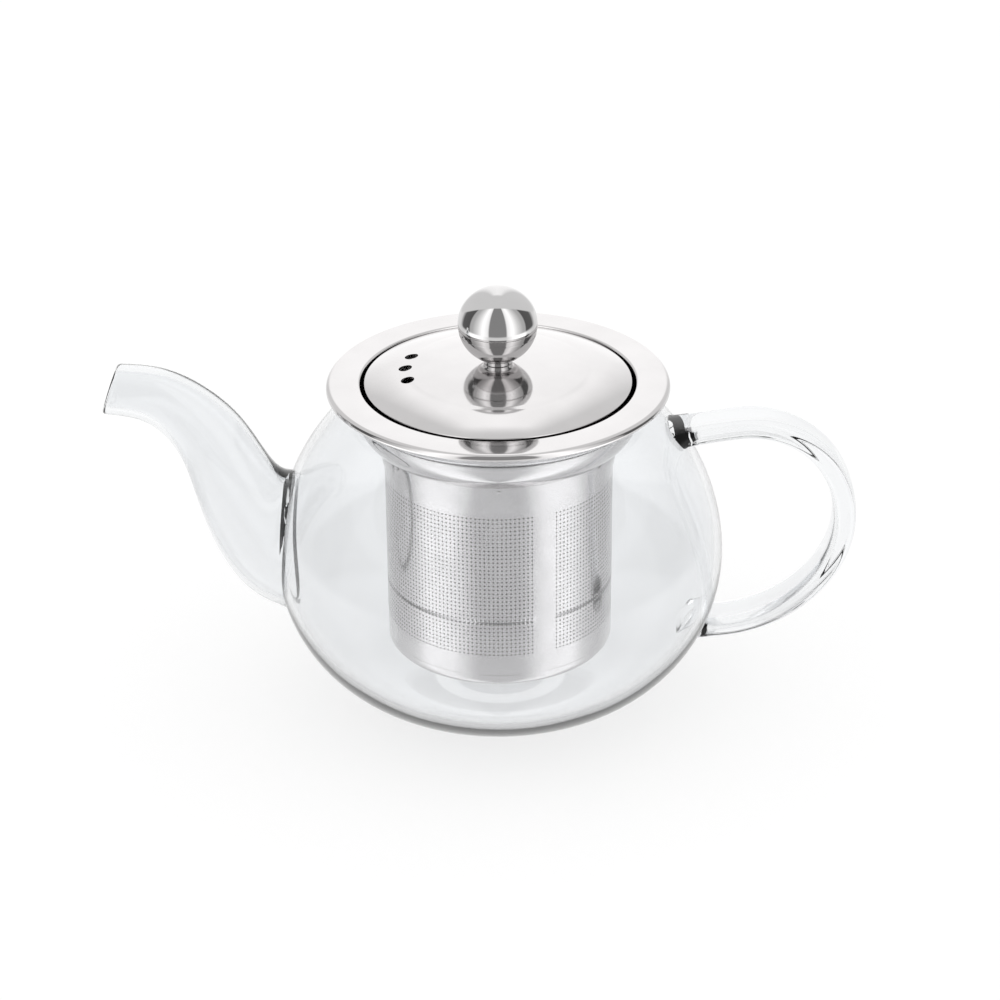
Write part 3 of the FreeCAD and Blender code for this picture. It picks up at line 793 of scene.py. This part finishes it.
# Mirror-polished steel: sharp reflections, with a few hair-fine wiping marks 0.6 mm apart.
mirror_steel = stainless("mirror_stainless_steel", "#DAD9D9", "#D1D0D0", 0.03, 0.6 * mm,
                         0.00015 * mm, 7 * mm)
show(outward(turned("knob_upper_half", upper_outline, 192)), mirror_steel, "lid", "mirror_steel",
     "knob_upper_shell")
show(outward(turned("knob_lower_half", lower_outline, 192)), mirror_steel, "lid", "mirror_steel",
     "knob_lower_shell")

# --- Knob stem ---
# A turned stainless foot: a short neck that flares up to a collar in the ball's lower half, and
# a boss inside the ball with a tapped hole for the screw.
stem_low, stem_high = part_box("knob_stem")
stem_radius = 3.3
neck_height = 0.6
screw_radius = 2.0
neck_low = stem_low.z / mm
neck_top = neck_low + neck_height
collar_low = lower_low.z / mm
collar_high = collar_low + shell_sheet
boss_bevel = 0.3
tap_depth = 4.0
tap_top = neck_low + tap_depth
flare_turn = np.radians(np.linspace(0, 90, 12))
flare = np.stack([collar_reach - (collar_reach - stem_radius) * np.cos(flare_turn),
                  neck_top + (collar_low - neck_top) * np.sin(flare_turn)], -1)
stem_outline = np.vstack([
    [[0, neck_low], [stem_radius - edge_break, neck_low], [stem_radius, neck_low + edge_break]],
    flare,
    [[collar_reach, collar_high], [stem_radius, collar_high],
     [stem_radius, stem_high.z / mm - boss_bevel], [stem_radius - boss_bevel, stem_high.z / mm],
     [0, stem_high.z / mm]],
])
tap = turned("tap", [[0, neck_low - 1], [screw_radius, neck_low - 1], [screw_radius, tap_top],
                     [0, tap_top + 1]], 64)
stem = combined(turned("knob_foot_blank", stem_outline, 128), ("DIFFERENCE", tap))
stem.name = "knob_foot"
stem.polygons.foreach_set("use_smooth", [True] * len(stem.polygons))
show(stem, mirror_steel, "lid", "mirror_steel", "knob_stem")

# --- Washer and screw ---
# A plain stainless washer and a slotted cheese-head screw hold the knob from inside the lid.
washer_low, washer_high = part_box("knob_washer")
washer_radius = washer_high.x / mm
washer_hole = 2.1
washer_outline = [
    [washer_hole, washer_low.z / mm], [washer_radius - edge_break, washer_low.z / mm],
    [washer_radius, washer_low.z / mm + edge_break], [washer_radius, washer_high.z / mm],
    [washer_hole, washer_high.z / mm]]
show(outward(turned("knob_washer_ring", washer_outline, 96)), satin_steel, "lid", "satin_steel",
     "knob_washer")

screw_low, screw_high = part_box("knob_screw")
head_radius = 3.4
head_bevel = 0.4
shank_play = 0.15
tip_inset = 0.4
tip_bevel = 0.3
head_low = screw_low.z / mm
head_top = washer_low.z / mm
slot_width = 0.8
slot_reach = 5  # past the head on both sides
screw_outline = [
    [0, head_low], [head_radius - head_bevel, head_low], [head_radius, head_low + head_bevel],
    [head_radius, head_top], [screw_radius - shank_play, head_top],
    [screw_radius - shank_play, screw_high.z / mm - tip_bevel],
    [screw_radius - tip_inset, screw_high.z / mm],
    [0, screw_high.z / mm]]
slot_corners = np.array([(x, y, z) for x in (-slot_reach, slot_reach)
                         for y in (-slot_width / 2, slot_width / 2)
                         for z in (head_low - 1, head_low + slot_width)]) * mm
slot_cut = mesh_of("slot", slot_corners, [(0, 1, 3, 2), (4, 6, 7, 5), (0, 4, 5, 1), (2, 3, 7, 6),
                                          (0, 2, 6, 4), (1, 5, 7, 3)])
screw = combined(turned("screw_blank", screw_outline, 64), ("DIFFERENCE", slot_cut))
screw.name = "knob_screw_slotted"
screw.polygons.foreach_set("use_smooth", [True] * len(screw.polygons))
show(screw, satin_steel, "lid", "satin_steel", "knob_screw")

# --- Floor and studio light ---
# A plain white table, and a studio round it: a white backdrop behind, a soft ceiling, and two
# tall light panels in front with a dark gap for the camera between them. Only mirrored light
# sees the studio. All other light meets plain white, and the table glows so that it stays white.


def mirrored_in_metal(tree):
    """1 for light mirrored in open air or inside the pot, and 0 for light seen directly or bent
    inside one wall of glass, which stays as pale as the table."""
    path = add_node(tree, "ShaderNodeLightPath").outputs
    mirrored = add_node(tree, "ShaderNodeMath", {"operation": "GREATER_THAN"},
                        in_0=path["Glossy Depth"], in_1=0.5)
    through_glass = add_node(tree, "ShaderNodeMath", {"operation": "SUBTRACT"},
                             in_0=path["Transmission Depth"], in_1=2.0)
    in_one_wall = add_node(tree, "ShaderNodeMath", {"operation": "COMPARE"},
                           in_0=through_glass.outputs[0], in_1=0.0, in_2=1.5)
    elsewhere = add_node(tree, "ShaderNodeMath", {"operation": "SUBTRACT"},
                         in_0=mirrored.outputs[0], in_1=in_one_wall.outputs[0])
    return add_node(tree, "ShaderNodeMath", {"operation": "MAXIMUM"}, in_0=elsewhere.outputs[0],
                    in_1=0.0).outputs[0]


def white_table():
    """A matt mid-grey board with a white glow, which together read as white. Mirrored light
    passes through it to the studio's own light."""
    material, tree = new_material("white_table")
    mirrored = mirrored_in_metal(tree)
    board = add_node(tree, "ShaderNodeBsdfDiffuse", Color=linear("#8F8F8F"))
    glow = add_node(tree, "ShaderNodeEmission", Color=linear("#FFFFFF"), Strength=0.75)
    lit = add_node(tree, "ShaderNodeAddShader", in_0=board.outputs[0], in_1=glow.outputs[0])
    gone = add_node(tree, "ShaderNodeBsdfTransparent")
    mix = add_node(tree, "ShaderNodeMixShader", in_0=mirrored, in_1=lit.outputs[0],
                   in_2=gone.outputs[0])
    add_node(tree, "ShaderNodeOutputMaterial", Surface=mix.outputs[0])
    return material


floor_size = 6.0
floor_mesh = bpy.data.meshes.new("floor")
corner = floor_size / 2
floor_mesh.from_pydata([(-corner, -corner, 0), (corner, -corner, 0), (corner, corner, 0),
                        (-corner, corner, 0)], [], [(0, 1, 2, 3)])
floor_mesh.materials.append(white_table())
table = bpy.data.objects.new("floor", floor_mesh)
bpy.context.scene.collection.objects.link(table)


def ramp(tree, value, stops):
    """A grey ramp through the stops (place, brightness)."""
    node = add_node(tree, "ShaderNodeValToRGB", Fac=value)
    while len(node.color_ramp.elements) < len(stops):
        node.color_ramp.elements.new(0.5)
    for element, (place, level) in zip(node.color_ramp.elements, stops):
        element.position = place
        element.color = (level, level, level, 1)
    return node.outputs["Color"]


def studio():
    """The light that mirrored rays meet, by direction. Round the pot it runs from the dark gap
    through a panel and a black flag to the backdrop; a soft cap of light lies over the back.
    All other rays meet plain white."""
    world = bpy.data.worlds.new("studio")
    world.use_nodes = True
    bpy.context.scene.world = world
    tree = world.node_tree
    tree.nodes.clear()
    way = add_node(tree, "ShaderNodeTexCoord").outputs["Generated"]
    parts = add_node(tree, "ShaderNodeSeparateXYZ", Vector=way).outputs
    side = add_node(tree, "ShaderNodeMath", {"operation": "ABSOLUTE"}, in_0=parts[0]).outputs[0]
    front = add_node(tree, "ShaderNodeMath", {"operation": "MULTIPLY"}, in_0=parts[1],
                     in_1=-1.0).outputs[0]
    angle = add_node(tree, "ShaderNodeMath", {"operation": "ARCTAN2"}, in_0=side, in_1=front)
    share = add_node(tree, "ShaderNodeMath", {"operation": "DIVIDE"}, in_0=angle.outputs[0],
                     in_1=math.pi).outputs[0]
    round_pot = ramp(tree, share, [
        (0.0, 0.16), (0.13, 0.16), (0.155, 0.62), (0.24, 0.80), (0.33, 0.5), (0.42, 0.30),
        (0.47, 0.28), (0.49, 0.06), (0.64, 0.07), (0.72, 0.45), (0.9, 0.55), (1.0, 0.62)])
    table_side = ramp(tree, share, [
        (0.0, 0.44), (0.13, 0.44), (0.2, 0.64), (0.27, 0.82), (0.42, 0.88), (0.47, 0.76),
        (0.53, 0.54), (0.62, 0.44), (0.7, 0.42), (0.8, 0.46), (1.0, 0.46)])
    under = add_node(tree, "ShaderNodeMapRange", {"interpolation_type": "SMOOTHSTEP"},
                     Value=parts[2], From_Min=-0.22, From_Max=-0.32)
    lower = add_node(tree, "ShaderNodeMix", {"data_type": "RGBA"}, in_0=under.outputs[0],
                     in_6=round_pot, in_7=table_side).outputs[2]
    cap_way = add_node(tree, "ShaderNodeVectorMath", {"operation": "DOT_PRODUCT"}, in_0=way,
                       in_1=(0.0, 0.682, 0.731)).outputs["Value"]
    cap = add_node(tree, "ShaderNodeMapRange", {"interpolation_type": "SMOOTHSTEP"}, Value=cap_way,
                   From_Min=0.42, From_Max=0.47)
    back_side = ramp(tree, share, [(0.0, 0.42), (0.86, 0.42), (0.93, 0.62), (1.0, 0.66)])
    height = add_node(tree, "ShaderNodeMapRange", {"interpolation_type": "SMOOTHSTEP"},
                      Value=parts[2], From_Min=0.86, From_Max=0.94, To_Min=0.0, To_Max=1.0)
    over = add_node(tree, "ShaderNodeMix", {"data_type": "RGBA"}, in_0=height.outputs[0],
                    in_6=back_side, in_7=(0.42, 0.42, 0.42, 1)).outputs[2]
    all_round = add_node(tree, "ShaderNodeMix", {"data_type": "RGBA"}, in_0=cap.outputs[0],
                         in_6=lower, in_7=over).outputs[2]
    plain_white = 0.51
    seen = add_node(tree, "ShaderNodeMix", {"data_type": "RGBA"}, in_0=mirrored_in_metal(tree),
                    in_6=(plain_white, plain_white, plain_white, 1), in_7=all_round).outputs[2]
    light = add_node(tree, "ShaderNodeBackground", Color=seen, Strength=2.0)
    add_node(tree, "ShaderNodeOutputWorld", Surface=light.outputs[0])


studio()
